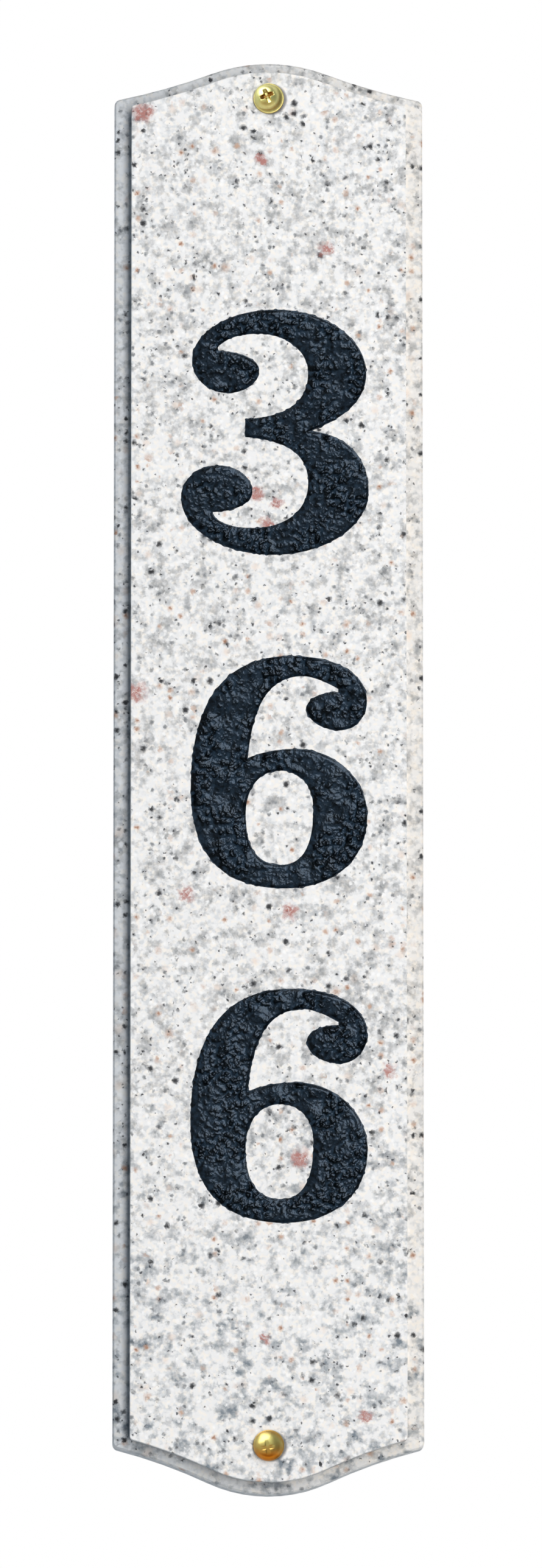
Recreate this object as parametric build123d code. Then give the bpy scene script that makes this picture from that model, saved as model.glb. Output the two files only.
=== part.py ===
from build123d import *
import os
from collections import namedtuple
from math import cos, radians, sin, sqrt, tan

# House number plaque: a granite slab with ogee ends, a raised front panel, three carved and painted
# numerals, and two brass screws that hold it to a wall.
# It is drawn lying on its back, with x across, y up the plaque and z out of its front, in millimetres.
# stand_up() then turns it so that its back lies in the plane y = 0, its front faces -Y and +Z is up.

# Slab
slab_width = 95.25
slab_height = 444.5
slab_thickness = 12.7
slab_corner_radius = 2.0
slab_arris = 0.5  # bevel along the slab's front and back edges

# Ogee ends: a crown arc in the middle that turns over into a hollow flank arc on each side
top_crown_radius = 50.0
top_crown_half_angle = 20.5
top_flank_radius = 200.0
bottom_crown_radius = 44.0
bottom_crown_half_angle = 25.0
bottom_flank_radius = 160.0

# Raised panel: what is left where the border round it is cut down
border_depth = 4.0
side_border = 5.2
end_border = 3.4
panel_corner_radius = 1.2
panel_arris = 0.2  # bevel along the panel's front edge

# Numerals: carved into the panel's face, with a coat of paint on the floor of each pocket
pocket_depth = 2.0
paint_thickness = 0.5
three_height = 76.5
three_across = 2.0
three_up = 105.9
six_height = 72.0
six_across = 3.2
upper_six_up = 0.0
lower_six_up = -103.2

# Screws: plain shank through the stone, thread behind it
screw_below_top = 11.8
screw_above_bottom = 14.6
head_diameter = 9.5
head_height = 3.4
head_rim_height = 1.0
shank_diameter = 4.2
thread_diameter = 4.8
thread_length = 25.0
point_length = 5.0
point_flat_diameter = 0.6
hole_clearance = 0.6  # all round the thread
top_screw_turn = 22.0
bottom_screw_turn = 8.0

# Cross recess of the screws
recess_span = 4.7
recess_floor_span = 2.0
recess_wing_width = 1.1
recess_depth = 2.2
recess_core_diameter = 2.4
recess_floor_diameter = 1.2

# How far a curve of a numeral swings out into its corner. Round is a quarter of an ellipse.
ROUND = 1.0
FULL = 1.1
SQUARE = 1.2

# A numeral's outline is a list of smooth runs with a corner or a short straight between them. Each point
# is in hundredths of the numeral's height from its middle, with the outline's heading there in degrees,
# clockwise round the shape, and the swing of the curve that arrives at it.
P = namedtuple("P", "across up heading swing", defaults=[ROUND])

THREE_OUTLINE = [
    # upper ball, round over the top and down the upper bowl to the waist
    [P(-23.5, 33.0, 0), P(-6.6, 25.4, -90), P(-19.2, 16.0, 180), P(-33.4, 29.2, 90),
     P(0.5, 50.0, 0), P(36.6, 24.0, -90), P(13.6, 0.4, -160, FULL)],
    # lower bowl, round the foot and over the lower ball
    [P(13.6, 0.4, -4), P(37.5, -23.9, -90, FULL), P(-0.9, -50.0, 180), P(-37.8, -26.7, 90),
     P(-23.0, -13.8, 0), P(-9.3, -24.4, -90), P(-25.2, -32.6, 180)],
    # inside of the lower bowl, back to the middle arm
    [P(-25.2, -33.6, -65), P(-9.5, -39.3, 0), P(13.4, -20.7, 90, FULL), P(-12.0, -2.0, 176, SQUARE)],
    # inside of the upper bowl, from the middle arm
    [P(-12.0, 5.2, 3), P(13.4, 24.4, 90, SQUARE), P(-6.5, 40.3, 180), P(-23.5, 34.2, -120)],
]

SIX_OUTLINE = [
    # over the bowl, round the foot, up the stem and round the ball
    [P(-13.5, 5.8, 24), P(7.0, 9.9, 0), P(37.5, -18.6, -90), P(2.1, -50.0, 180, FULL),
     P(-37.6, -7.5, 90, SQUARE), P(5.4, 50.0, 0, SQUARE), P(37.4, 30.5, -90, FULL),
     P(25.9, 18.2, 180), P(11.9, 27.6, 90), P(25.4, 34.4, -2)],
    # inside of the hook, down to the crotch
    [P(25.4, 36.0, 150), P(10.2, 41.5, 180), P(-13.5, 5.8, -95, SQUARE)],
]

SIX_EYE = [
    [P(0.5, 0.7, 180), P(-14.4, -18.6, -90, FULL), P(0.8, -40.1, 0, SQUARE),
     P(14.7, -16.0, 90, SQUARE), P(0.5, 0.7, 180, FULL)],
]

# Points closer than this are one point
same_place = 1e-6

# Levels along z, worked out from the sizes above
front_level = slab_thickness
border_level = slab_thickness - border_depth
pocket_floor = front_level - pocket_depth
top_screw_up = slab_height / 2 - screw_below_top
bottom_screw_up = screw_above_bottom - slab_height / 2


def ogee_end(half_width, apex, crown_radius, half_angle, flank_radius, inset):
    """The upper end of an outline, from left to right, set in by inset from the slab's own end.

    The crown and both flanks keep their centres when the end is set in, so the border stays parallel.
    """
    angle = radians(half_angle)
    crown_centre = apex - crown_radius
    flank_x = (crown_radius + flank_radius) * sin(angle)
    flank_y = crown_centre + (crown_radius + flank_radius) * cos(angle)
    crown_r = crown_radius - inset
    flank_r = flank_radius + inset
    turn = (crown_r * sin(angle), crown_centre + crown_r * cos(angle))
    middle_x = (turn[0] + half_width) / 2
    middle = (middle_x, flank_y - sqrt(flank_r**2 - (flank_x - middle_x) ** 2))
    corner = (half_width, flank_y - sqrt(flank_r**2 - (flank_x - half_width) ** 2))
    right_flank = ThreePointArc(turn, middle, corner)
    left_flank = mirror(right_flank, Plane.YZ)
    crown = ThreePointArc((-turn[0], turn[1]), (0, crown_centre + crown_r), turn)
    return [left_flank, crown, right_flank], corner


def plaque_outline(side_inset, end_inset, corner_radius):
    """The slab's outline as a face, set in from its sides and ends, with rounded corners."""
    half = slab_width / 2 - side_inset
    apex = slab_height / 2
    top, top_corner = ogee_end(
        half, apex, top_crown_radius, top_crown_half_angle, top_flank_radius, end_inset
    )
    foot, foot_corner = ogee_end(
        half, apex, bottom_crown_radius, bottom_crown_half_angle, bottom_flank_radius, end_inset
    )
    bottom = [mirror(edge, Plane.XZ) for edge in foot]
    right_side = Line(top_corner, (half, -foot_corner[1]))
    left_side = mirror(right_side, Plane.YZ)
    face = make_face([*top, right_side, *bottom, left_side])
    corners = [v for v in face.vertices() if abs(abs(v.X) - half) < same_place]
    return fillet(corners, corner_radius)


def numeral_curve(start, end, unit):
    """One smooth curve of a numeral, along both points' headings, in millimetres."""
    away = Vector(cos(radians(start.heading)), sin(radians(start.heading)))
    along = Vector(cos(radians(end.heading)), sin(radians(end.heading)))
    first = Vector(start.across, start.up) * unit
    last = Vector(end.across, end.up) * unit
    chord = last - first
    cross = away.X * along.Y - away.Y * along.X
    first_reach = (chord.X * along.Y - chord.Y * along.X) / cross
    last_reach = (away.X * chord.Y - away.Y * chord.X) / cross
    turn = radians((end.heading - start.heading + 180) % 360 - 180)
    pull = end.swing * 4 / 3 * tan(turn / 4) / tan(turn / 2)
    return Bezier(first, first + away * (first_reach * pull), last - along * (last_reach * pull), last)


def numeral_loop(runs, height):
    """The closed outline of a numeral of this height, about its own middle."""
    unit = height / 100
    edges = []
    for run, following in zip(runs, runs[1:] + runs[:1]):
        edges += [numeral_curve(a, b, unit) for a, b in zip(run, run[1:])]
        end = Vector(run[-1].across, run[-1].up) * unit
        start = Vector(following[0].across, following[0].up) * unit
        if (start - end).length > same_place:
            edges.append(Line(end, start))
    return Wire(edges)


def numeral_prism(outline, height, across, up, low, high):
    """A numeral as an upright prism between two levels."""
    face = Pos(across, up, low) * Face(numeral_loop(outline, height))
    return extrude(face, amount=high - low, dir=(0, 0, 1))


def three_prism(low, high):
    """The numeral 3 between two levels."""
    return numeral_prism(THREE_OUTLINE, three_height, three_across, three_up, low, high)


def six_prism(up, low, high):
    """The numeral 6 between two levels, with the stone of its eye left standing."""
    body = numeral_prism(SIX_OUTLINE, six_height, six_across, up, low, high)
    eye = numeral_prism(SIX_EYE, six_height, six_across, up, low, high)
    return body - eye


def granite_plaque():
    """The slab: stepped front, softened edges, carved numerals and two screw holes."""
    base = extrude(plaque_outline(0, 0, slab_corner_radius), amount=border_level)
    base_rims = base.edges().group_by(Axis.Z)
    base = chamfer(base_rims[0] + base_rims[-1], slab_arris)
    panel_face = plaque_outline(side_border, end_border, panel_corner_radius)
    panel = extrude(panel_face, amount=front_level)
    panel = chamfer(panel.edges().group_by(Axis.Z)[-1], panel_arris)
    slab = base + panel
    above = front_level + pocket_depth
    slab -= three_prism(pocket_floor, above)
    slab -= six_prism(upper_six_up, pocket_floor, above)
    slab -= six_prism(lower_six_up, pocket_floor, above)
    hole_radius = thread_diameter / 2 + hole_clearance
    hole = Cylinder(hole_radius, slab_thickness, align=(Align.CENTER, Align.CENTER, Align.MIN))
    for up in (top_screw_up, bottom_screw_up):
        slab -= Pos(0, up, 0) * hole
    return slab


def recess_tool():
    """The cross recess: two wings that narrow to the floor, round a tapered core, from z = 0 down.

    The wings go on up past z = 0, so that they cut all of a domed head.
    """
    lift = head_height
    slope = (recess_span - recess_floor_span) / 2 / recess_depth
    top_span = recess_span + 2 * slope * lift
    wing_face = make_face(Polyline(
        (-top_span / 2, lift),
        (top_span / 2, lift),
        (recess_floor_span / 2, -recess_depth),
        (-recess_floor_span / 2, -recess_depth),
        close=True,
    ))
    wing = extrude(Plane.XZ * wing_face, amount=recess_wing_width / 2, both=True)
    core = Cone(
        recess_floor_diameter / 2,
        recess_core_diameter / 2,
        recess_depth,
        align=(Align.CENTER, Align.CENTER, Align.MAX),
    )
    return wing + Rot(0, 0, 90) * wing + core


def screw(up, turn):
    """A round-head brass screw driven home: its head on the panel, its thread behind the slab."""
    head_radius = head_diameter / 2
    rim_level = front_level + head_rim_height
    crown_level = front_level + head_height
    thread_end = point_length - thread_length
    dome_height = head_height - head_rim_height
    dome_radius = (head_radius**2 + dome_height**2) / (2 * dome_height)
    profile = [
        Line((0, crown_level), (0, -thread_length)),
        Line((0, -thread_length), (point_flat_diameter / 2, -thread_length)),
        Line((point_flat_diameter / 2, -thread_length), (thread_diameter / 2, thread_end)),
        Line((thread_diameter / 2, thread_end), (thread_diameter / 2, 0)),
        Line((thread_diameter / 2, 0), (shank_diameter / 2, 0)),
        Line((shank_diameter / 2, 0), (shank_diameter / 2, front_level)),
        Line((shank_diameter / 2, front_level), (head_radius, front_level)),
        Line((head_radius, front_level), (head_radius, rim_level)),
        RadiusArc((head_radius, rim_level), (0, crown_level), -dome_radius),
    ]
    body = revolve(Plane.XZ * make_face(profile), Axis.Z)
    body -= Pos(0, 0, crown_level) * recess_tool()
    return Pos(0, up, 0) * Rot(0, 0, turn) * body


def stand_up(shape):
    """Turn a piece from lying on its back to hanging on the wall."""
    return Plane.XZ.location * shape


paint_level = pocket_floor + paint_thickness
pieces = {
    "granite_plaque": granite_plaque(),
    "upper_numeral_paint": three_prism(pocket_floor, paint_level),
    "middle_numeral_paint": six_prism(upper_six_up, pocket_floor, paint_level),
    "lower_numeral_paint": six_prism(lower_six_up, pocket_floor, paint_level),
    "top_screw": screw(top_screw_up, top_screw_turn),
    "bottom_screw": screw(bottom_screw_up, bottom_screw_turn),
}

os.makedirs("parts", exist_ok=True)
for node, shape in pieces.items():
    export_step(stand_up(shape), f"parts/{node}.step")
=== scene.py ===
"""Looks of a granite house number plaque: polished stone, painted numerals and brass wall screws.

Everything is in metres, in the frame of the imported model: x runs across the plaque, z up it, and
the numerals face -y. Sizes of pieces are written as millimetres times MM. The finishes are drawn in
millimetres, so all of their sizes are plain numbers.
"""

import logging
import math
from collections.abc import Callable
from dataclasses import dataclass
from enum import Enum
from functools import partial
from itertools import count
from typing import ClassVar

import bmesh
import bpy
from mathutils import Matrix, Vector, kdtree, noise
from mathutils.geometry import delaunay_2d_cdt


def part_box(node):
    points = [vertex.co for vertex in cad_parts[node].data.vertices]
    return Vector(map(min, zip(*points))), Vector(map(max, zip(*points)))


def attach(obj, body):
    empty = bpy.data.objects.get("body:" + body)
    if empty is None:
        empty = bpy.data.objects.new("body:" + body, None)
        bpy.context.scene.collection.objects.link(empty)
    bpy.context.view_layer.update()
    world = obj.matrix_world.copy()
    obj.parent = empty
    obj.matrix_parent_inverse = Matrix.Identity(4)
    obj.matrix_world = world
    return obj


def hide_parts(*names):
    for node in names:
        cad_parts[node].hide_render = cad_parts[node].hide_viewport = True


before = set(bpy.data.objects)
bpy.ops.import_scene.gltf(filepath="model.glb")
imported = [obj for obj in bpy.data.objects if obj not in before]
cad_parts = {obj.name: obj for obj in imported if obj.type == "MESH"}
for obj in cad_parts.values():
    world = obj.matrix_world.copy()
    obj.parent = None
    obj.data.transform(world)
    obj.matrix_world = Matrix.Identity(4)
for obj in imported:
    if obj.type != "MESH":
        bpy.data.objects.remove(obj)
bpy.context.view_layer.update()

MM = 0.001
# Depths that are nearer to each other than this count as one
NEAR = 0.01 * MM
SEED = 3
BODY = "root"
TARNISH_AND_SHADE = "tarnish"
PIT_SHADE = "pooled"

# Sockets of the Mix node, which share their names: for colours, with RGBA set, and for numbers
RGBA = {"data_type": "RGBA"}
FACTOR, A, B, RESULT = 0, 6, 7, 2
NUMBER_A, NUMBER_B = 2, 3
# Setting of a MapRange node that eases in and out
SMOOTH = {"interpolation_type": "SMOOTHSTEP"}
# Middle of what a noise gives, and the length of one band of the wave texture at a scale of 1
MIDDLE = 0.5
WAVE_LENGTH = 0.314
# For delaunay_2d_cdt: keep what the outline encloses, and mm within which two points are one
INSIDE, ONE_POINT = 1, 1e-5

Colour = tuple[float, float, float, float]
Loop = list[Vector]
Material = bpy.types.Material
Piece = bpy.types.Object
Socket = bpy.types.NodeSocket
Values = dict[str, float]
# Radius, depth along y, and tarnish with painted shade, of a point of a screw
ScrewPoint = tuple[float, float, float]

log = logging.getLogger("plaque")


class Slot(Enum):
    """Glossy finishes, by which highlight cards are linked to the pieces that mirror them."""

    PAINT = "numeral_paint"
    BRASS = "brass"


class Blend(Enum):
    """How a layer of the stone's colour lies over those before it."""

    COVER = "MIX"
    SHADED = "MULTIPLY"


def linear(colour: str) -> Colour:
    """Turn an sRGB hex value into a linear colour.

    Args:
        colour: the value as "#RRGGBB".

    Returns:
        Linear red, green and blue, and an alpha of 1.
    """
    shares = [int(colour[i : i + 2], 16) / 255 for i in (1, 3, 5)]
    red, green, blue = [s / 12.92 if s <= 0.04045 else ((s + 0.055) / 1.055) ** 2.4 for s in shares]
    return red, green, blue, 1.0


def clamp(value: float, low: float = 0.0, high: float = 1.0) -> float:
    """Keep a value between two others."""
    return min(high, max(low, value))


def round_trip(row: list) -> zip:
    """Pair each item of a row with the next one, and the last with the first."""
    return zip(row, row[1:] + row[:1])


def add_node(
    tree: bpy.types.NodeTree, kind: str, inputs: dict | None = None, **settings: object
) -> bpy.types.bpy_prop_collection:
    """Add a shader node with its settings, values and links.

    Args:
        tree: the node tree that gets it.
        kind: the node's type, without the "ShaderNode" that Blender puts in front.
        inputs: sockets by name or number. A socket as the value is linked, anything else is set.
        settings: properties of the node by name.

    Returns:
        The new node's outputs.
    """
    node = tree.nodes.new("ShaderNode" + kind)
    for name, value in settings.items():
        setattr(node, name, value)
    for key, value in (inputs or {}).items():
        if isinstance(value, Socket):
            tree.links.new(value, node.inputs[key])
        else:
            node.inputs[key].default_value = value
    return node.outputs


def new_material(name: str) -> tuple[Material, partial]:
    """Start a node material.

    Args:
        name: what the real material is called.

    Returns:
        The material, with an empty node tree, and add_node bound to that tree.
    """
    material = bpy.data.materials.new(name)
    material.use_nodes = True
    material.node_tree.nodes.clear()
    return material, partial(add_node, material.node_tree)


def position(add: partial) -> Socket:
    """Give the position on a piece, in its own space.

    Args:
        add: add_node for the piece's material.

    Returns:
        The position in mm, by which a pattern's scale is one over its real size.
    """
    return add("VectorMath", {0: add("TexCoord")["Object"], "Scale": 1 / MM}, operation="SCALE")[0]


def close_material(add: partial, height: Socket, relief: float, sockets: dict) -> None:
    """Emboss a material's relief and connect its shader.

    Args:
        add: add_node for the material.
        height: pattern of the relief, from 0 to 1.
        relief: how high it stands, in mm.
        sockets: what the shader's other sockets get.
    """
    bump = add("Bump", {"Height": height, "Distance": relief * MM, "Strength": 1.0})[0]
    shader = add("BsdfPrincipled", {"Normal": bump, **sockets})[0]
    add("OutputMaterial", {"Surface": shader})


def direction(azimuth: float, elevation: float) -> Vector:
    """Give the way from the plaque to a lamp or the camera.

    Args:
        azimuth: degrees to the right of the plaque's front; beyond 90 it is behind the plaque.
        elevation: degrees above the horizon.

    Returns:
        A vector one metre long.
    """
    side, rise = math.radians(azimuth), math.radians(elevation)
    ahead = math.cos(side) * math.cos(rise)
    return Vector((math.sin(side) * math.cos(rise), -ahead, math.sin(rise)))


def new_piece(name: str, shape: bmesh.types.BMesh, material: Material) -> Piece:
    """Turn a finished shape into a smooth-shaded object of the scene.

    Args:
        name: name of the piece.
        shape: its faces, which are freed here.
        material: its finish.

    Returns:
        The object, at the origin.
    """
    bmesh.ops.recalc_face_normals(shape, faces=shape.faces)
    for face in shape.faces:
        face.smooth = True
    mesh = bpy.data.meshes.new(name)
    shape.to_mesh(mesh)
    shape.free()
    mesh.materials.append(material)
    piece = bpy.data.objects.new(name, mesh)
    bpy.context.scene.collection.objects.link(piece)
    return piece


def stand_for(piece: Piece, node: str) -> None:
    """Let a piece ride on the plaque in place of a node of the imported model.

    Args:
        piece: the piece, in its place.
        node: the node that it replaces.
    """
    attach(piece, BODY)
    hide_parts(node)
    log.info("%s: %d faces in place of %s", piece.name, len(piece.data.polygons), node)


@dataclass(frozen=True)
class Mineral:
    """One kind of mineral grain that is strewn through the stone, with its sizes in mm."""

    colour: str
    spacing: float  # distance between the places where a grain can sit
    share: float  # part of those places that hold one
    smallest: float  # radius of the smallest grain
    largest: float  # radius of the largest grain
    fade: float  # part of the radius over which a grain fades into the stone round it
    cover: float  # how far a grain hides the stone, from 0 to 1
    clusters: bool = False  # True if it keeps to the grey, quartz-rich parts of the stone


@dataclass(frozen=True)
class Layer:
    """A colour that lies over the colours drawn before it."""

    mask: Socket  # how far it hides them, from 0 to 1
    tint: Socket | Colour
    blend: Blend = Blend.COVER


class PolishedGranite:
    """White biotite granite, sawn and then polished on its face.

    Polishing cuts through every grain, so the eye sees a flat mosaic: milky feldspar, clouds of
    clear grey quartz, black mica flecks that gather in them, rust stains and a few pink feldspars.
    The border and the edges are only honed, so they are duller. Painted shade greys the border, the
    edges and the back, darker on the left than on the right, and the back keeps the marks of the
    saw.
    """

    name: str = "polished white granite"
    feldspar: str = "#F3F3F3"
    feldspar_cool: str = "#E0E2E4"
    feldspar_warm: str = "#FAF6F0"
    quartz: str = "#8D8F91"
    quartz_low: str = "#7E8891"
    # Painted shade on the honed border, edges and back: darker on the left, away from the key light
    border_shade_left: str = "#D0D4D8"
    border_shade_right: str = "#F2F0ED"
    pink: str = "#B67C74"
    # Colour of the painted shadow beside the screw heads
    painted_shade: str = "#4A4A50"
    ior: float = 1.54
    sawn_roughness: float = 0.75
    mica_roughness: float = 0.4
    # Patterns by their size, with the values between which each comes in, and bends of positions
    tint_noise: Values = {"Scale": 1 / 1.5, "Detail": 1.0}
    tint_range: Values = {"From Min": 0.45, "From Max": 0.7}
    tint_apart: float = 50.0
    cluster_noise: Values = {"Scale": 1 / 6.0, "Detail": 2.0}
    cluster_range: Values = {"From Min": 0.35, "From Max": 0.65}
    quartz_noise: Values = {"Scale": 1 / 2.8, "Detail": 2.5, "Roughness": 0.55}
    quartz_range: Values = {"From Min": 0.47, "From Max": 0.8}
    gathering: float = 0.4
    gathering_low: float = 0.45
    wobble_noise: Values = {"Scale": 1 / 0.8, "Detail": 2.0}
    wobble: float = 1.3
    pink_noise: Values = {"Scale": 1 / 2.6, "Detail": 2.0}
    pink_swing: float = 5.0
    pink_heart: float = 0.35
    mottle_noise: Values = {"Scale": 1 / 1.25, "Detail": 3.0, "Roughness": 0.6}
    mottle_range: Values = {"From Min": 0.34, "From Max": 0.56, "To Min": 0.3, "To Max": 0.95}
    saw_wave: Values = {"Scale": WAVE_LENGTH / 2.2, "Distortion": 1.6, "Detail": 3.0}
    saw_mark_depth: float = 0.06
    # Heights of the cooler foot of the stone, depths of the back, and depths behind the face: of
    # the painted shade on what isn't polished, and of the change from polished to honed roughness
    foot_range: Values = {"From Min": -90.0, "From Max": -170.0}
    sawn_range: Values = {"From Min": -0.3, "From Max": -0.02}
    saw_mark_range: Values = {"From Min": -0.1, "From Max": -0.02}
    border_shade_range: Values = {"From Min": 0.25, "From Max": 1.0}
    polish_range: Values = {"From Min": 0.02, "From Max": 0.3, "To Min": 0.16, "To Max": 0.42}
    # Painted shadow beside a screw: how far across and up from its middle, and the radii of its
    # edge
    screw_shadow_shift: tuple[float, float] = (0.9, -0.15)
    screw_shadow_edge: Values = {"From Min": 5.15 - 0.9, "From Max": 5.15, "To Min": 0.75, "To Max": 0.0}

    # From the ground up: milky and grey grains, cream ones, rust stains and the hearts of some of
    # them, smoky grains, and fine and coarse mica, which has to come last
    minerals: tuple[Mineral, ...] = (
        Mineral("#FFFFFF", 2.2, 0.62, 0.70, 1.40, 0.8, 0.80),
        Mineral("#959BA2", 2.6, 0.40, 0.70, 1.70, 0.9, 0.60, clusters=True),
        Mineral("#EFDDCF", 8.0, 0.50, 1.20, 2.60, 0.9, 0.60),
        Mineral("#C9A288", 3.4, 0.150, 0.90, 2.30, 0.9, 0.85),
        Mineral("#9A6C54", 3.4, 0.110, 0.40, 1.35, 0.9, 0.80),
        Mineral("#6A6E73", 2.0, 0.13, 0.45, 1.20, 0.75, 0.80, clusters=True),
        Mineral("#3A3C42", 1.4, 0.15, 0.15, 0.48, 0.5, 0.85, clusters=True),
        Mineral("#1E1E22", 2.6, 0.160, 0.40, 1.50, 0.68, 0.95, clusters=True),
    )

    # Large pink feldspars: place across and up the face, and radius
    pink_grains: tuple[tuple[float, float, float], ...] = (
        *((-38.6, 205.8, 4.2), (-2.2, 191.2, 2.6), (17.6, 163.5, 3.0), (-3.9, 87.0, 3.4)),
        *((2.3, 83.8, 2.8), (-0.8, 77.0, 3.2), (-40.6, 24.5, 4.4), (-25.2, -37.5, 3.2)),
        *((6.4, -43.0, 3.3), (36.9, -92.3, 3.0), (9.9, -119.6, 4.2), (-1.4, -174.5, 2.5)),
        (29.6, -198.6, 2.6),
    )

    def __init__(self) -> None:
        """Start the material and the positions that its layers are drawn by."""
        self.material, self.add = new_material(self.name)
        self.place = position(self.add)
        self.axes = self.add("SeparateXYZ", {0: self.place})
        self.bent = self.bend(self.place, self.wobble_noise, self.wobble)
        self.cluster = self.add("TexNoise", {"Vector": self.place, **self.cluster_noise})[0]
        self.low, self.high = (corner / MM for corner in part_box("granite_plaque"))
        steps = {0: self.axes["Y"], 1: self.low.y}
        self.behind_face = self.add("Math", steps, operation="SUBTRACT")[0]

    def finished(self) -> Material:
        """Draw the stone in its own space, so that its grain runs through every edge.

        Returns:
            The material.
        """
        grains = [self.grains(mineral) for mineral in self.minerals]
        layers = [*self.tints(), self.quartz_clouds(), *grains, *self.pink_feldspars()]
        # The last layers are painted shade: greying what isn't polished, and shadows beside the
        # screws
        layers += [self.border_shade(), *self.screw_shadows()]
        colour = linear(self.feldspar)
        for layer in layers:
            mix = {FACTOR: layer.mask, A: colour, B: layer.tint}
            colour = self.add("Mix", mix, **RGBA, blend_type=layer.blend.value)[RESULT]
        roughness = self.roughness(grains[-1].mask)
        sockets = {"Base Color": colour, "Roughness": roughness, "IOR": self.ior}
        close_material(self.add, self.saw_marks(), self.saw_mark_depth, sockets)
        return self.material

    def bend(self, place: Socket, lobes: Values, swing: float) -> Socket:
        """Bend positions to and fro, so that the grains drawn by them have uneven edges.

        Args:
            place: the positions.
            lobes: the noise that bends them.
            swing: how far it bends them.

        Returns:
            The bent positions.
        """
        sway = self.add("TexNoise", {"Vector": place, **lobes})["Color"]
        sway = self.add("VectorMath", {0: sway, 1: (MIDDLE,) * 3}, operation="SUBTRACT")[0]
        moved = {0: sway, 1: (swing,) * 3, 2: place}
        return self.add("VectorMath", moved, operation="MULTIPLY_ADD")[0]

    def spot(self, place: Socket, across: float, up: float, edge: Values) -> Socket:
        """Draw a round spot with a soft edge on the face.

        Args:
            place: position.
            across: place of its middle across the face.
            up: place of its middle up the face.
            edge: radii between which it fades, and how far it hides the stone within and beyond.

        Returns:
            The spot's mask.
        """
        ends = {0: place, 1: (across, self.low.y, up)}
        gap = self.add("VectorMath", ends, operation="DISTANCE")["Value"]
        return self.add("MapRange", {"Value": gap, **edge}, **SMOOTH)[0]

    def tints(self) -> list[Layer]:
        """Let the milky ground drift between a cooler and a warmer white.

        Returns:
            The two whites.
        """
        layers = []
        for shift, tint in ((0.0, self.feldspar_cool), (self.tint_apart, self.feldspar_warm)):
            moved = self.add("VectorMath", {0: self.place, 1: (shift,) * 3}, operation="ADD")[0]
            drift = self.add("TexNoise", {"Vector": moved, **self.tint_noise})[0]
            mask = self.add("MapRange", {"Value": drift, **self.tint_range}, **SMOOTH)[0]
            layers.append(Layer(mask, linear(tint)))
        return layers

    def quartz_clouds(self) -> Layer:
        """Lay clouds of grey quartz over the ground, cooler and denser towards the stone's foot.

        Returns:
            The clouds.
        """
        cloud = self.add("TexNoise", {"Vector": self.bent, **self.quartz_noise})[0]
        height = self.add("SeparateXYZ", {0: self.bent})["Z"]
        low = self.add("MapRange", {"Value": height, **self.foot_range})[0]
        weights = {0: low, 1: self.gathering_low, 2: self.gathering}
        weight = self.add("Math", weights, operation="MULTIPLY_ADD")[0]
        rich = self.add("Math", {0: self.cluster, 1: MIDDLE}, operation="SUBTRACT")[0]
        level = self.add("Math", {0: rich, 1: weight, 2: cloud}, operation="MULTIPLY_ADD")[0]
        mask = self.add("MapRange", {"Value": level, **self.quartz_range})[0]
        tints = {FACTOR: low, A: linear(self.quartz), B: linear(self.quartz_low)}
        return Layer(mask, self.add("Mix", tints, **RGBA)[RESULT])

    def grains(self, mineral: Mineral) -> Layer:
        """Strew one kind of grain through the stone.

        Args:
            mineral: the kind of grain.

        Returns:
            The grains.
        """
        cells = self.add("TexVoronoi", {"Vector": self.bent, "Scale": 1 / mineral.spacing})
        draw = self.add("SeparateColor", {0: cells["Color"]})
        share = mineral.share
        if mineral.clusters:
            # From no grains where there is no quartz to twice the share where there is most
            rich = {"Value": self.cluster, **self.cluster_range, "To Max": 2 * share}
            share = self.add("MapRange", rich)[0]
        held = self.add("Math", {0: draw[0], 1: share}, operation="LESS_THAN")[0]
        smallest, largest = mineral.smallest / mineral.spacing, mineral.largest / mineral.spacing
        sizes = {0: draw[1], 1: largest - smallest, 2: smallest}
        radius = self.add("Math", sizes, operation="MULTIPLY_ADD")[0]
        heart = self.add("Math", {0: radius, 1: 1 - mineral.fade}, operation="MULTIPLY")[0]
        edge = {"From Min": heart, "From Max": radius, "To Min": mineral.cover, "To Max": 0.0}
        grain = self.add("MapRange", {"Value": cells["Distance"], **edge}, **SMOOTH)[0]
        mask = self.add("Math", {0: grain, 1: held}, operation="MULTIPLY")[0]
        return Layer(mask, linear(mineral.colour))

    def pink_feldspars(self) -> list[Layer]:
        """Set the large pink feldspars into the face.

        Returns:
            The pink grains, ragged and mottled.
        """
        ragged = self.bend(self.bent, self.pink_noise, self.pink_swing)
        mottle = self.add("TexNoise", {"Vector": ragged, **self.mottle_noise})[0]
        patch = self.add("MapRange", {"Value": mottle, **self.mottle_range}, **SMOOTH)[0]
        layers = []
        for across, up, radius in self.pink_grains:
            edge = {"From Min": self.pink_heart * radius, "From Max": radius}
            spot = self.spot(ragged, across, up, edge | {"To Min": 1.0, "To Max": 0.0})
            mask = self.add("Math", {0: spot, 1: patch}, operation="MULTIPLY")[0]
            layers.append(Layer(mask, linear(self.pink)))
        return layers

    def border_shade(self) -> Layer:
        """Paint shade onto what isn't polished, darker on the left than on the right.

        Returns:
            The painted shade on the border, the edges and the back.
        """
        width = {"From Min": self.low.x, "From Max": self.high.x}
        right = self.add("MapRange", {"Value": self.axes["X"], **width})[0]
        tints = {FACTOR: right, A: linear(self.border_shade_left), B: linear(self.border_shade_right)}
        film = self.add("Mix", tints, **RGBA)[RESULT]
        mask = self.add("MapRange", {"Value": self.behind_face, **self.border_shade_range})[0]
        return Layer(mask, film, Blend.SHADED)

    def screw_shadows(self) -> list[Layer]:
        """Paint a shadow beside each screw head, on the side of it that stands off the stone.

        Returns:
            The painted shadows.
        """
        layers = []
        for node in ("top_screw", "bottom_screw"):
            low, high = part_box(node)
            middle = (low + high) / 2 / MM
            aside, up = self.screw_shadow_shift
            mask = self.spot(self.place, middle.x + aside, middle.z + up, self.screw_shadow_edge)
            layers.append(Layer(mask, linear(self.painted_shade)))
        return layers

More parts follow.
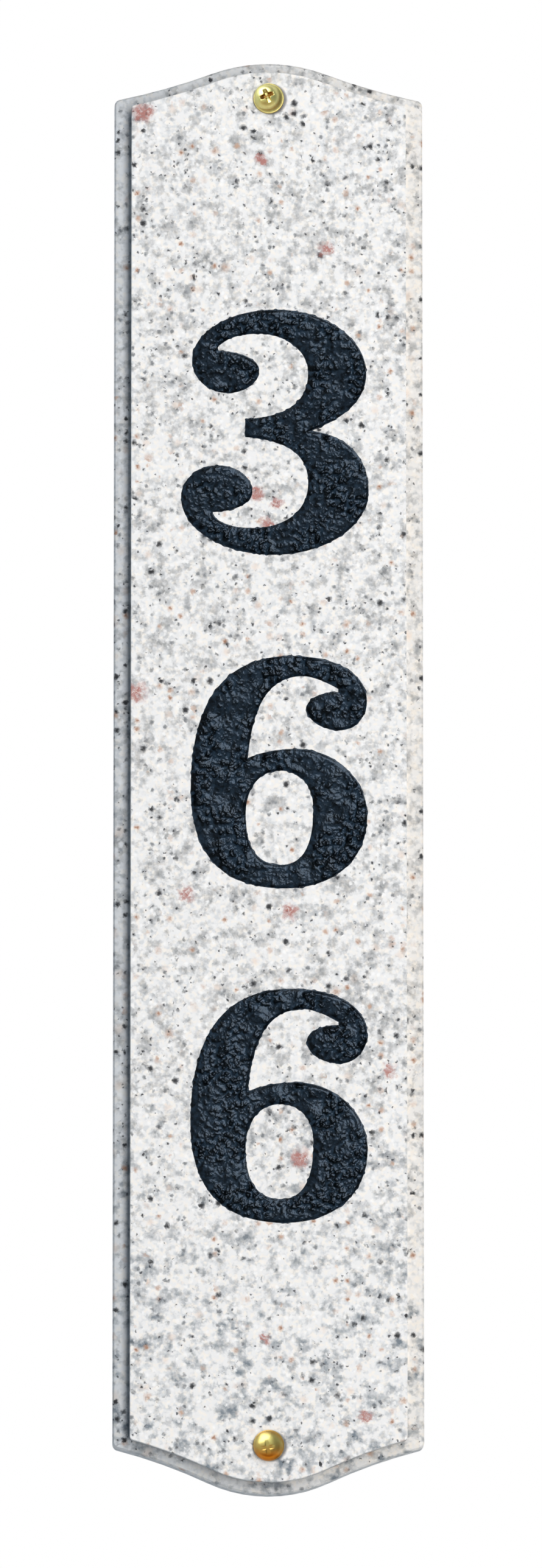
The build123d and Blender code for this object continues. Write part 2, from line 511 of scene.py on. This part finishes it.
    def roughness(self, mica: Socket) -> Socket:
        """Polish the face and leave the rest duller.

        Args:
            mica: where coarse mica shows, which takes less polish.

        Returns:
            The roughness.
        """
        level = self.add("MapRange", {"Value": self.behind_face, **self.polish_range})[0]
        sawn = self.add("MapRange", {"Value": self.axes["Y"], **self.sawn_range})[0]
        for mask, other in ((sawn, self.sawn_roughness), (mica, self.mica_roughness)):
            level = self.add("Mix", {FACTOR: mask, NUMBER_A: level, NUMBER_B: other})[0]
        return level

    def saw_marks(self) -> Socket:
        """Score the back with the marks of the saw.

        Returns:
            The height of the marks, which is 0 everywhere but on the back.
        """
        on_back = self.add("MapRange", {"Value": self.axes["Y"], **self.saw_mark_range})[0]
        wave = {"Vector": self.place, **self.saw_wave}
        marks = self.add("TexWave", wave, bands_direction="Z")["Fac"]
        return self.add("Math", {0: marks, 1: on_back}, operation="MULTIPLY")[0]


@dataclass(frozen=True)
class EnamelPaint:
    """Blue-black gloss enamel, flooded into sandblasted pockets.

    It dries over the rough floor in small lumps and creases. The eye sees a nearly black skin with
    a blue cast, broken up by glints where a lump faces a light; painted shade darkens it in the
    pits and hollows. Real grit is finer than the one here, which is as coarse as a picture of the
    whole plaque can show.
    """

    name: str = "blue-black enamel"
    dark: str = "#020508"
    light: str = "#1E2D3B"
    roughness: float = 0.22
    ior: float = 1.5
    grit_depth: float = 0.16
    # Patterns by their size. Blotches less the painted shade of pits and hollows give the tint
    grit: ClassVar[Values] = {"Scale": 1 / 0.5, "Detail": 2.0}
    blotches: ClassVar[Values] = {"Scale": 1 / 1.2, "Detail": 3.0}
    paint_tone_range: ClassVar[Values] = {"From Min": -0.35, "From Max": 0.55}

    def material(self) -> Material:
        """Make the paint's material.

        Returns:
            The material, which takes the painted shade of pits from values that the mesh carries.
        """
        material, add = new_material(self.name)
        place = position(add)
        blotch = add("TexNoise", {"Vector": place, **self.blotches})[0]
        # Painted shade of pits and hollows, carried by the mesh
        pooled = add("Attribute", attribute_name=PIT_SHADE)["Fac"]
        paint_tone = add("Math", {0: blotch, 1: pooled}, operation="SUBTRACT")[0]
        share = add("MapRange", {"Value": paint_tone, **self.paint_tone_range})[0]
        tints = {FACTOR: share, A: linear(self.dark), B: linear(self.light)}
        colour = add("Mix", tints, **RGBA)[RESULT]
        grit = add("TexNoise", {"Vector": place, **self.grit})[0]
        sockets = {"Base Color": colour, "Roughness": self.roughness, "IOR": self.ior}
        close_material(add, grit, self.grit_depth, sockets)
        return material


@dataclass(frozen=True)
class TurnedBrass:
    """Brass of a turned and lacquered screw.

    The lathe leaves a bright, slightly wavy skin. Tarnish stays where no cloth reaches, so the
    cross recess is brown, and painted shade darkens it more. Painted shade also darkens the dome's
    foot, and a painted reflection of the warm ground browns a head's lower half.
    """

    name: str
    bright: str
    tarnish: str
    roughness: float = 0.33
    blotch_swing: float = 0.5
    blotch_level: float = -0.22
    ripple_depth: float = 0.03
    # Patterns by their size
    blotches: ClassVar[Values] = {"Scale": 1 / 1.6, "Detail": 2.0}
    ripples: ClassVar[Values] = {"Scale": 1 / 1.1, "Detail": 1.0}

    def material(self) -> Material:
        """Make the brass.

        Returns:
            The material, which takes tarnish, painted shade and a painted reflection from the
            mesh's values.
        """
        material, add = new_material(self.name)
        place = position(add)
        blotch = add("TexNoise", {"Vector": place, **self.blotches})[0]
        levels = {0: blotch, 1: self.blotch_swing, 2: self.blotch_level}
        film = add("Math", levels, operation="MULTIPLY_ADD")[0]
        carried = add("Attribute", attribute_name=TARNISH_AND_SHADE)["Fac"]
        share = add("Math", {0: carried, 1: film}, operation="ADD", use_clamp=True)[0]
        tints = {FACTOR: share, A: linear(self.bright), B: linear(self.tarnish)}
        colour = add("Mix", tints, **RGBA)[RESULT]
        ripple = add("TexNoise", {"Vector": place, **self.ripples})[0]
        sockets = {"Base Color": colour, "Metallic": 1.0, "Roughness": self.roughness}
        close_material(add, ripple, self.ripple_depth, sockets)
        return material


@dataclass
class GraniteSlab:
    """The slab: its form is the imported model's own, and it gets the stone's finish."""

    node: str = "granite_plaque"

    @property
    def face(self) -> float:
        """Depth of the polished face along y."""
        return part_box(self.node)[0].y

    def dress(self, finish: PolishedGranite) -> None:
        """Give the slab its stone.

        Args:
            finish: the stone.
        """
        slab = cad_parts[self.node]
        material = finish.finished()
        for slot in slab.material_slots:
            slot.material = material
        log.info("%s: dressed in %s", self.node, finish.name)


@dataclass
class PaintedNumeral:
    """The coat of paint in one carved numeral.

    It lines the pocket from rim to floor, dries in lumps and laps over chips along the rim. The
    lumps of no two numerals are alike.
    """

    node: str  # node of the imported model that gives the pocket's outline and floor
    face: float  # depth of the stone's polished face along y
    shift: float  # where this numeral's lumps are taken from
    # Spacing of the points inside and along the rim, and shares of it: how fast and how far points
    # are nudged out of their rows, and how far they keep off the rim
    pitch: float = 0.2 * MM
    rim_pitch: float = 0.24 * MM
    nudge_size: float = 0.7
    nudge: float = 0.3
    rim_gap: float = 0.6
    # The coat's edge, from the wall of the pocket over the rim
    wall_run: float = 1.1 * MM
    slanted_run: float = 1.7 * MM
    lip: float = 0.04 * MM
    lap: float = 0.1 * MM
    lap_edge: float = 0.012 * MM
    chip: float = 0.5 * MM
    chip_size: float = 1.4 * MM
    seat: float = 0.05 * MM
    floor_cover: float = 0.08 * MM
    # The lumps: swells, pits of uneven depth and a wrinkled grain, in smoother and rougher patches
    level: float = 1.15 * MM
    swell: float = 0.9 * MM
    swell_size: float = 5.0 * MM
    pit: float = 1.1 * MM
    pit_size: float = 2.6 * MM
    pit_radius: float = 0.42
    pit_level: float = 0.45
    pit_swing: float = 1.6
    pit_draw: float = 4.7
    grain: float = 0.75 * MM
    grain_size: float = 1.55 * MM
    grain_least: float = 0.3
    grain_layers: tuple[float, float, int] = (1.05, 2.0, 3)  # fall, step and number
    patch_size: float = 8.0 * MM
    patch_level: float = 0.5
    patch_swing: float = 2.4
    patch_least: float = 0.12
    # How deep the paint lies where it is painted fully dark: painted shade in pits and hollows
    pit_shade_depth: float = 0.3 * MM

    def build(self, material: Material) -> Piece:
        """Make the coat and put it in the node's place.

        Args:
            material: the paint.

        Returns:
            The piece.
        """
        low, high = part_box(self.node)
        loops = self.outline(low.y)
        rim = [point for loop in loops for point in loop]
        tree = kdtree.KDTree(len(rim))
        for number, point in enumerate(rim):
            tree.insert(point.to_3d(), number)
        tree.balance()
        numbers = count()
        rows = [[next(numbers) for _ in loop] for loop in loops]
        points = rim + self.inner_points(loops, tree)
        deepest = high.y - self.face - self.floor_cover

        shape = bmesh.new()
        # Painted shade of pits and hollows, carried on the points
        film = shape.verts.layers.float.new(PIT_SHADE)
        skin = []
        for point in points:
            nearest = tree.find(point.to_3d())[0].to_2d()
            depth, pooled = self.depth(point, point - nearest)
            vertex = shape.verts.new((point.x, self.face + min(depth, deepest), point.y))
            vertex[film] = pooled
            skin.append(vertex)
        lap = [shape.verts.new((p.x, self.face - self.lap_edge, p.y)) for p in self.lapped(loops)]
        seat = [shape.verts.new((p.x, self.face + self.seat, p.y)) for p in rim]
        base = [shape.verts.new((p.x, high.y, p.y)) for p in rim]
        for corners in self.triangles(points, rows):
            shape.faces.new([skin[i] for i in corners])
        for corners in self.triangles(rim, rows):
            shape.faces.new([base[i] for i in reversed(corners)])
        for upper, lower in ((skin, lap), (lap, seat), (seat, base)):
            for a, b in (edge for row in rows for edge in round_trip(row)):
                shape.faces.new((upper[a], upper[b], lower[b], lower[a]))
        piece = new_piece(self.node.replace("paint", "coat"), shape, material)
        stand_for(piece, self.node)
        return piece

    def outline(self, front: float) -> list[Loop]:
        """Read the numeral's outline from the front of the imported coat.

        Args:
            front: depth of that front along y.

        Returns:
            Closed loops of points across and up the face, each with the paint on its left and no
            two points further apart than the rim's pitch.
        """
        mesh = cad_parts[self.node].data
        # Rounded, so that the corners of neighbouring faces are one
        spots = [(round(v.co.x / MM, 4), round(v.co.z / MM, 4)) for v in mesh.vertices]
        edges = {}
        for polygon in mesh.polygons:
            if all(abs(mesh.vertices[i].co.y - front) < NEAR for i in polygon.vertices):
                edges |= dict.fromkeys(round_trip([spots[i] for i in polygon.vertices]))
        # An edge that two faces share runs both ways, and is no part of the outline
        after = {a: b for a, b in edges if (b, a) not in edges}
        loops = []
        while after:
            here = next(iter(after))
            loop = []
            while here in after:
                there = after.pop(here)
                a, b = Vector(here) * MM, Vector(there) * MM
                parts = max(1, math.ceil((b - a).length / self.rim_pitch))
                loop.extend(a.lerp(b, part / parts) for part in range(parts))
                here = there
            loops.append(loop)
        return loops

    def lapped(self, loops: list[Loop]) -> Loop:
        """Move the outline outwards, to where the paint laps over the stone's chipped edge.

        Args:
            loops: the loops.

        Returns:
            The moved points, all loops in one row.
        """
        points = []
        for loop in loops:
            for before, here, after in zip(loop[-1:] + loop[:-1], loop, loop[1:] + loop[:1]):
                along = (after - before).normalized()
                chip = noise.noise(Vector((here.x, self.shift, here.y)) / self.chip_size)
                reach = self.lap + self.chip * max(0.0, chip)
                points.append(here + Vector((along.y, -along.x)) * reach)
        return points

    def inner_points(self, loops: list[Loop], rim: kdtree.KDTree) -> Loop:
        """Fill the outline with rows of points.

        Args:
            loops: the outline.
            rim: the outline's points, to keep clear of.

        Returns:
            The points, a little out of line so that the lumps show no rows.
        """
        heights = [point.y for loop in loops for point in loop]
        # Every other row is half a pitch aside, so that neighbours are one pitch apart all round
        step = self.pitch * math.sqrt(0.75)
        points = []
        for row in range(int((max(heights) - min(heights)) / step)):
            level = min(heights) + (row + 0.5) * step
            offset = 0.5 * (row % 2)
            crossings = sorted(
                a.x + (b.x - a.x) * (level - a.y) / (b.y - a.y)
                for loop in loops
                for a, b in round_trip(loop)
                if (a.y > level) != (b.y > level)
            )
            for start, end in zip(crossings[::2], crossings[1::2]):
                first = math.ceil(start / self.pitch - offset)
                last = math.floor(end / self.pitch - offset)
                for column in range(first, last + 1):
                    point = Vector(((column + offset) * self.pitch, level))
                    place = Vector((point.x, self.shift, point.y))
                    nudge = noise.noise_vector(place / (self.nudge_size * self.pitch))
                    point += Vector((nudge.x, nudge.z)) * self.nudge * self.pitch
                    if rim.find(point.to_3d())[2] > self.rim_gap * self.pitch:
                        points.append(point)
        return points

    def depth(self, point: Vector, inward: Vector) -> tuple[float, float]:
        """Work out how far the dried paint lies below the stone's face.

        Args:
            point: place across and up the face.
            inward: way to it from the nearest point of the rim.

        Returns:
            The depth, negative where the paint stands proud at the rim, and its painted shade,
            deeper in pits.
        """
        facing_right = max(0.0, inward.x / inward.length) if inward.length else 0.0
        run = min(inward.length / (self.wall_run + self.slanted_run * facing_right), 1.0)
        wall = 1 - (1 - run) ** 2
        place = Vector((point.x, self.shift, point.y))
        patch = self.patch_level + self.patch_swing * noise.noise(place / self.patch_size)
        rough = clamp(patch, self.patch_least)
        # Round pits of uneven depth, some of them hardly there
        distances, middles = noise.voronoi(place / self.pit_size)
        deep = clamp(self.pit_level + self.pit_swing * noise.noise(middles[0] * self.pit_draw))
        hollow = max(0.0, 1 - (distances[0] / self.pit_radius) ** 2) ** 2
        lumps = self.pit * rough * (deep * hollow)
        grain = self.grain * (self.grain_least + rough)
        lumps += grain * noise.fractal(place / self.grain_size, *self.grain_layers)
        # Painted shade: the deeper the lumps and pits go, the darker the paint
        pooled = clamp(0.5 + lumps / self.pit_shade_depth / 2)
        lumps += self.swell * noise.noise(place / self.swell_size)
        return wall * (self.level + lumps) - (1 - wall) * self.lip, pooled

    def triangles(self, points: Loop, rows: list[list[int]]) -> list[list[int]]:
        """Join points into triangles that fill the outline and leave its eye open.

        A triangle between three points of one loop lies outside the paint where it runs against
        the loop.

        Args:
            points: the points, the outline's first.
            rows: the numbers of each loop's points.

        Returns:
            The numbers of each triangle's points.
        """
        spots = [point / MM for point in points]
        ring = [edge for row in rows for edge in round_trip(row)]
        _, _, faces, origins, _, _ = delaunay_2d_cdt(spots, ring, [], INSIDE, ONE_POINT)
        kept = []
        for face in faces:
            a, b, c = (origins[i][0] for i in face)
            on_one_loop = any(row[0] <= min(a, b, c) and max(a, b, c) <= row[-1] for row in rows)
            if not on_one_loop or a < b < c or b < c < a or c < a < b:
                kept.append([a, b, c])
        return kept


@dataclass
class BrassScrew:
    """A round-headed wood screw with a cross recess, driven through the slab."""

    node: str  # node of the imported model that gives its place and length
    face: float  # depth of the stone's polished face along y, under the head
    turn: float  # how far the recess is turned, in degrees
    recess_depth: float  # how deep the recess is; lacquer and dirt have filled it in part
    dome_radius: float  # radius of the dome, which stands on the head's rim
    fullness: float  # power of the dome's profile; a higher one gives a fuller edge
    lean: Vector  # how far the crown stands aside, across and up: it isn't driven straight
    foot_lean: float  # how far the dome's foot does so, as a share of the crown's
    lower_reflection: float  # painted reflection of the warm ground: how much browner the head's lower half is
    segments: int = 144
    # The head: the dome, the rim that it stands on, and the bevel under the rim
    head_radius: float = 4.75 * MM
    head_height: float = 3.25 * MM
    dome_foot: float = 1.0 * MM
    dome_rows: int = 66
    crown_ring: float = 0.15
    rim_height: float = 0.6 * MM
    rim_roll: float = 0.2 * MM
    rim_start: float = -30.0
    rim_end: float = 90.0
    rim_rows: int = 8
    bevel: float = 0.12 * MM
    # The shank, the thread and the point
    shank_radius: float = 2.1 * MM
    thread_radius: float = 2.4 * MM
    root_radius: float = 1.7 * MM
    thread_pitch: float = 2.1 * MM
    thread_rows: int = 18
    ridge: float = 0.42
    point_length: float = 5.0 * MM
    point_radius: float = 0.3 * MM
    # The recess
    wing_span: float = 4.7 * MM
    wing_floor: float = 2.0 * MM
    wing_width: float = 1.1 * MM
    core_span: float = 2.4 * MM
    core_floor: float = 1.2 * MM
    soft_edge: float = 0.3 * MM
    # Tarnish and painted shade, from 0 to 1: tarnish and painted shade in the recess, painted shade
    # at the dome's foot, a painted reflection on the lower half, and tarnish elsewhere
    tarnish_and_shade_depth: float = 0.35 * MM
    upright_shade: float = 0.15
    foot_start: float = 0.8
    foot_shade: float = 0.6
    lower_reflection_level: float = 0.4
    lower_reflection_fall: float = 0.9
    rim_dirt: float = 0.4
    shank_dirt: float = 0.4
    thread_dirt: float = 0.5
    point_dirt: float = 0.2

    def build(self, material: Material) -> Piece:
        """Make the screw and put it in the node's place.

        Args:
            material: the brass.

        Returns:
            The piece.
        """
        low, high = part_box(self.node)
        middle = (low + high) / 2
        shape = bmesh.new()
        film = shape.verts.layers.float.new(TARNISH_AND_SHADE)
        rows = []
        for place in self.places(high.y):
            row = []
            for number in range(self.segments):
                angle = math.tau * number / self.segments
                radius, depth, tarnish = place(angle)
                # The rim and all below it stand straight. The dome leans, most at its crown
                height = self.face - depth - self.dome_foot
                rise = height / (self.head_height - self.dome_foot)
                share = self.foot_lean + (1 - self.foot_lean) * rise if height > -NEAR else 0.0
                aside = self.lean * share
                across = middle.x + radius * math.cos(angle) + aside.x
                up = middle.z + radius * math.sin(angle) + aside.y
                vertex = shape.verts.new((across, depth, up))
                vertex[film] = tarnish
                row.append(vertex)
            rows.append(row)
        for upper, lower in zip(rows, rows[1:]):
            for i, j in round_trip(list(range(self.segments))):
                shape.faces.new((upper[i], upper[j], lower[j], lower[i]))
        for row in (rows[0], rows[-1]):
            shape.faces.new(row)
        piece = new_piece(self.node.replace("screw", "wood_screw"), shape, material)
        stand_for(piece, self.node)
        return piece

    def places(self, tip: float) -> list[Callable[[float], ScrewPoint]]:
        """List the rings of the screw, from the crown of its head to its point.

        Args:
            tip: depth of the point along y.

        Returns:
            For each ring, a function from angle to radius, depth and tarnish.
        """
        rings = []
        for row in range(self.dome_rows):
            radius = self.dome_radius * (row + self.crown_ring) / self.dome_rows
            rings.append(partial(self.on_head, radius))
        for row in range(self.rim_rows + 1):
            turn = self.rim_start + (self.rim_end - self.rim_start) * row / self.rim_rows
            angle = math.radians(turn)
            radius = self.head_radius - self.rim_roll * (1 - math.sin(angle))
            depth = self.face - self.rim_height - self.rim_roll * math.cos(angle)
            rings.append(partial(self.plain, radius, depth, self.rim_dirt))
        for radius, depth in (
            (self.head_radius, self.face - self.bevel),
            (self.head_radius - self.bevel, self.face),
            (self.shank_radius, self.face),
            (self.shank_radius, 0.0),
        ):
            rings.append(partial(self.plain, radius, depth, self.shank_dirt))
        step = self.thread_pitch / self.thread_rows
        for row in range(1, int(tip / step)):
            rings.append(partial(self.on_thread, row * step, tip))
        rings.append(partial(self.plain, self.point_radius, tip, self.point_dirt))
        return rings

    def plain(self, radius: float, depth: float, tarnish: float, angle: float) -> ScrewPoint:
        """Give the same radius, depth and tarnish at any angle."""
        return radius, depth, tarnish

    def on_head(self, radius: float, angle: float) -> ScrewPoint:
        """Give a point of the head's dome or of the recess in it.

        Args:
            radius: distance from the screw's axis.
            angle: angle round the axis.

        Returns:
            Radius, depth along y, and tarnish with painted shade and reflection.
        """
        rise = self.head_height - self.dome_foot
        sag = rise * (radius / self.dome_radius) ** self.fullness
        across = radius * math.cos(angle - math.radians(self.turn))
        up = radius * math.sin(angle - math.radians(self.turn))
        cut = self.slope(radius, self.core_span, self.core_floor)
        for along, beside in ((abs(across), abs(up)), (abs(up), abs(across))):
            share = (self.wing_width / 2 + self.soft_edge / 2 - beside) / self.soft_edge
            cut = max(cut, self.slope(along, self.wing_span, self.wing_floor) * clamp(share))
        # Tarnish in the recess, darkened further by painted shade, most in the wings that run
        # across
        lying = self.upright_shade + (1 - self.upright_shade) * abs(across) / radius
        painted_shade = min(1.0, cut / self.tarnish_and_shade_depth) * lying
        # Painted shade at the dome's foot, on the side away from its lean
        foot = max(0.0, radius / self.dome_radius - self.foot_start) / (1 - self.foot_start)
        outwards = Vector((math.cos(angle), math.sin(angle)))
        ledge = max(0.0, -self.lean.normalized().dot(outwards))
        # Painted reflection of the warm ground: the lower half of the head is browner
        height = radius * math.sin(angle) / self.dome_radius
        below = clamp(self.lower_reflection_level - self.lower_reflection_fall * height)
        film = max(self.foot_shade * foot * ledge, self.lower_reflection * below)
        return radius, self.face - self.head_height + sag + cut, max(painted_shade, film)

    def slope(self, out: float, span: float, floor: float) -> float:
        """Give the depth of a sloping cut.

        Args:
            out: distance from the middle of the cut.
            span: its width at the top.
            floor: its width at the bottom.

        Returns:
            Depth below the dome.
        """
        return self.recess_depth * clamp((span / 2 - out) / (span / 2 - floor / 2))

    def on_thread(self, depth: float, tip: float, angle: float) -> ScrewPoint:
        """Give a point of the thread, which winds towards the screw's point.

        Args:
            depth: depth along y.
            tip: depth of the screw's point.
            angle: angle round the axis.

        Returns:
            Radius, depth along y and tarnish.
        """
        turn = (depth / self.thread_pitch + angle / math.tau) % 1.0
        crest = max(0.0, 1 - abs(2 * turn - 1) / self.ridge)
        start = min(1.0, depth / self.thread_pitch)
        root = self.shank_radius + (self.root_radius - self.shank_radius) * start
        radius = root + (self.thread_radius - root) * crest * start
        taper = min(1.0, (tip - depth) / self.point_length)
        radius = self.point_radius + (radius - self.point_radius) * taper
        return radius, depth, self.thread_dirt * (1 - crest)


@dataclass(frozen=True)
class Lamp:
    """A soft box that faces the plaque, with its sizes in metres.

    It either lights the plaque and isn't mirrored in it, or is only mirrored in one glossy finish.
    """

    name: str
    azimuth: float  # degrees to the right of the plaque's front, seen from the camera
    elevation: float  # degrees above the plaque
    distance: float
    width: float
    height: float
    level: float  # a light's share of what makes a white face white, a highlight's brightness
    colour: str
    mirrored_in: Slot | None = None  # finish that a highlight is mirrored in, None for a light

    def build(self, glossy: dict[Slot, list[Piece]]) -> None:
        """Hang the lamp and aim it at the middle of the plaque.

        Args:
            glossy: the pieces of each glossy finish.
        """
        towards = direction(self.azimuth, self.elevation)
        light = bpy.data.lights.new(self.name, "AREA")
        light.shape = "RECTANGLE"
        light.size, light.size_y = self.width, self.height
        light.color = linear(self.colour)[:3]
        lamp = bpy.data.objects.new(self.name, light)
        lamp.location = towards * self.distance
        lamp.rotation_euler = towards.to_track_quat("Z", "Y").to_euler()
        lamp.visible_camera = False
        lamp.visible_diffuse = self.mirrored_in is None
        lamp.visible_glossy = not lamp.visible_diffuse
        if lamp.visible_diffuse:
            light.energy = self.level * math.pi**2 * self.distance**2 / abs(towards.y)
        else:
            light.energy = self.level * math.pi * self.width * self.height
            receivers = bpy.data.collections.new(f"{self.name}_receivers")
            for piece in glossy[self.mirrored_in]:
                receivers.objects.link(piece)
            lamp.light_linking.receiver_collection = receivers
        bpy.context.scene.collection.objects.link(lamp)
        log.info("%s: hung at %g degrees", self.name, self.azimuth)


@dataclass(frozen=True)
class Studio:
    """Where the plaque is looked at: a pale room, soft boxes and the camera."""

    floor_height: float = -1.75
    floor_size: float = 14.0
    floor_back: float = 6.4
    floor_parts: int = 8
    floor_glow: float = 0.88
    floor_colour: str = "#DFE8F0"
    floor_roughness: float = 0.8
    stipple_size: float = 350.0 * MM
    stipple_detail: float = 2.0
    stipple_depth: float = 0.2 * MM
    ambient: float = 0.03
    ambient_colour: str = "#D6E6F6"
    room: str = "#54595E"
    backdrop: str = "#FFFFFF"
    camera_distance: float = 4.18
    camera_azimuth: float = -1.2
    camera_elevation: float = -8.0
    camera_lens: float = 311.3
    camera_reach: float = 100.0
    camera_aim: tuple[float, float, float] = (0.97 * MM, 0.0, -1.94 * MM)

    # From the room in front of the plaque to the white behind it, by the way that a ray goes
    behind_range: ClassVar[Values] = {"From Min": -0.2, "From Max": 0.3}

    # Azimuth, elevation, distance, width, height, level, colour and finish, as Lamp explains them
    lamps: ClassVar[tuple[Lamp, ...]] = (
        Lamp("key_box", 22.5, 6.0, 1.6, 0.82, 4.0, 1.72, "#FFFDFB"),
        Lamp("fill_box", -40.0, 25.0, 1.5, 1.1, 1.1, 0.11, "#D2E4F5"),
        Lamp("side_box", -100.0, 10.0, 1.6, 0.8, 1.6, 0.045, "#E6EFF8"),
        Lamp("back_box_left", -148.0, 12.0, 1.8, 1.0, 1.0, 0.42, "#F6F9FC"),
        Lamp("back_box_right", 148.0, 12.0, 1.8, 1.0, 1.0, 0.42, "#F6F9FC"),
        Lamp("paint_card_near", -14.0, -10.0, 1.5, 1.0, 1.0, 1.1, "#C6DCF3", Slot.PAINT),
        Lamp("paint_card_far", -47.0, -36.0, 1.5, 2.3, 2.2, 4.0, "#C6DCF3", Slot.PAINT),
        Lamp("window_card", -35.0, 50.0, 1.0, 1.1, 1.1, 3.4, "#FFFFFA", Slot.BRASS),
        Lamp("sky_card", -38.0, 22.0, 1.5, 4.4, 4.0, 0.68, "#DCE8DC", Slot.BRASS),
        Lamp("wall_card", 52.0, 12.0, 1.5, 3.4, 4.0, 0.3, "#D8E0D0", Slot.BRASS),
        Lamp("ground_card", 0.0, -58.0, 1.4, 5.0, 2.2, 0.42, "#F4CF9C", Slot.BRASS),
    )

    def build(self, glossy: dict[Slot, list[Piece]]) -> None:
        """Set up the room, the lamps and the camera.

        Args:
            glossy: the pieces of each glossy finish, which mirror the cards.
        """
        bpy.context.scene.view_settings.view_transform = "Standard"
        self.build_floor()
        self.build_world()
        for lamp in self.lamps:
            lamp.build(glossy)
        self.build_camera()

    def build_floor(self) -> None:
        """Lay the pale floor, far below the plaque, which hangs at eye level.

        It is rolled floor paint: an even pale coat with a faint stipple, which the eye sees as
        plain white. Real stipple is finer than the one here, which a floor of this size can show.
        """
        material, add = new_material("pale painted floor")
        grains = {"Scale": self.floor_size / self.stipple_size, "Detail": self.stipple_detail}
        stipple = add("TexNoise", grains)[0]
        bump = add("Bump", {"Height": stipple, "Distance": self.stipple_depth})[0]
        colour = linear(self.floor_colour)
        sockets = {"Base Color": colour, "Roughness": self.floor_roughness, "Normal": bump}
        coat = add("BsdfPrincipled", sockets)[0]
        glow = add("Emission", {"Color": colour, "Strength": 1.0})[0]
        shares = {0: self.seen_directly(add), 1: self.floor_glow}
        share = add("Math", shares, operation="MULTIPLY")[0]
        add("OutputMaterial", {"Surface": add("MixShader", {0: share, 1: coat, 2: glow})[0]})
        shape = bmesh.new()
        parts = self.floor_parts
        bmesh.ops.create_grid(shape, x_segments=parts, y_segments=parts, size=self.floor_size / 2)
        place = (0.0, self.floor_back, self.floor_height)
        bmesh.ops.translate(shape, verts=shape.verts, vec=place)
        new_piece("floor", shape, material)
        log.info("floor: laid at %.2f m", self.floor_height)

    def seen_directly(self, add: partial) -> Socket:
        """Tell rays that show a surface to the eye from those that only light things.

        Args:
            add: add_node for the tree.

        Returns:
            1 for camera, glossy and transmission rays, and 0 for the rest.
        """
        path = add("LightPath")
        seen = path["Is Camera Ray"]
        for name in ("Is Glossy Ray", "Is Transmission Ray"):
            seen = add("Math", {0: seen, 1: path[name]}, operation="MAXIMUM")[0]
        return seen

    def build_world(self) -> None:
        """Make the room: white behind the plaque, dim in front, with faint light from all round."""
        world = bpy.data.worlds.new("pale room")
        world.use_nodes = True
        world.node_tree.nodes.clear()
        bpy.context.scene.world = world
        add = partial(add_node, world.node_tree)
        ahead = add("SeparateXYZ", {0: add("TexCoord")["Generated"]})["Y"]
        behind = add("MapRange", {"Value": ahead, **self.behind_range})[0]
        camera = add("LightPath")["Is Camera Ray"]
        white = add("Math", {0: behind, 1: camera}, operation="MAXIMUM")[0]
        tints = {FACTOR: white, A: linear(self.room), B: linear(self.backdrop)}
        shown = add("Mix", tints, **RGBA)[RESULT]
        picture = add("Background", {"Color": shown, "Strength": 1.0})[0]
        faint = {"Color": linear(self.ambient_colour), "Strength": self.ambient}
        light = add("Background", faint)[0]
        both = add("MixShader", {0: self.seen_directly(add), 1: light, 2: picture})[0]
        add("OutputWorld", {"Surface": both})

    def build_camera(self) -> None:
        """Point the camera up at the plaque, from a little to its left."""
        towards = direction(self.camera_azimuth, self.camera_elevation)
        lens = bpy.data.cameras.new("camera")
        lens.lens = self.camera_lens
        lens.clip_end = self.camera_reach
        camera = bpy.data.objects.new("camera", lens)
        camera.location = Vector(self.camera_aim) + towards * self.camera_distance
        camera.rotation_euler = towards.to_track_quat("Z", "Y").to_euler()
        bpy.context.scene.collection.objects.link(camera)
        bpy.context.scene.camera = camera


def main() -> None:
    """Build the dressed plaque and the room that it is looked at in."""
    logging.basicConfig(level=logging.INFO, format="%(message)s")
    # Without it the nudges of the paint's points would differ from run to run
    noise.seed_set(SEED)
    slab = GraniteSlab()
    slab.dress(PolishedGranite())
    paint = EnamelPaint().material()
    numerals = [
        PaintedNumeral(f"{place}_numeral_paint", slab.face, shift).build(paint)
        for place, shift in (("upper", 0.0), ("middle", 0.1), ("lower", 0.2))
    ]
    top = BrassScrew(
        "top_screw", slab.face, turn=22.0, recess_depth=1.1 * MM, dome_radius=4.05 * MM,
        fullness=2.8, lean=Vector((-0.62, 0.5)) * MM, foot_lean=0.9, lower_reflection=0.1,
    )
    bottom = BrassScrew(
        "bottom_screw", slab.face, turn=8.0, recess_depth=0.18 * MM, dome_radius=4.6 * MM,
        fullness=3.2, lean=Vector((-0.4, -0.9)) * MM, foot_lean=0.2, lower_reflection=1.0,
    )
    screws = [
        top.build(TurnedBrass("pale turned brass", "#E2DC96", "#96672F").material()),
        bottom.build(TurnedBrass("golden turned brass", "#CDBE78", "#BC7420").material()),
    ]
    Studio().build({Slot.PAINT: numerals, Slot.BRASS: screws})


if __name__ == "__main__":
    main()
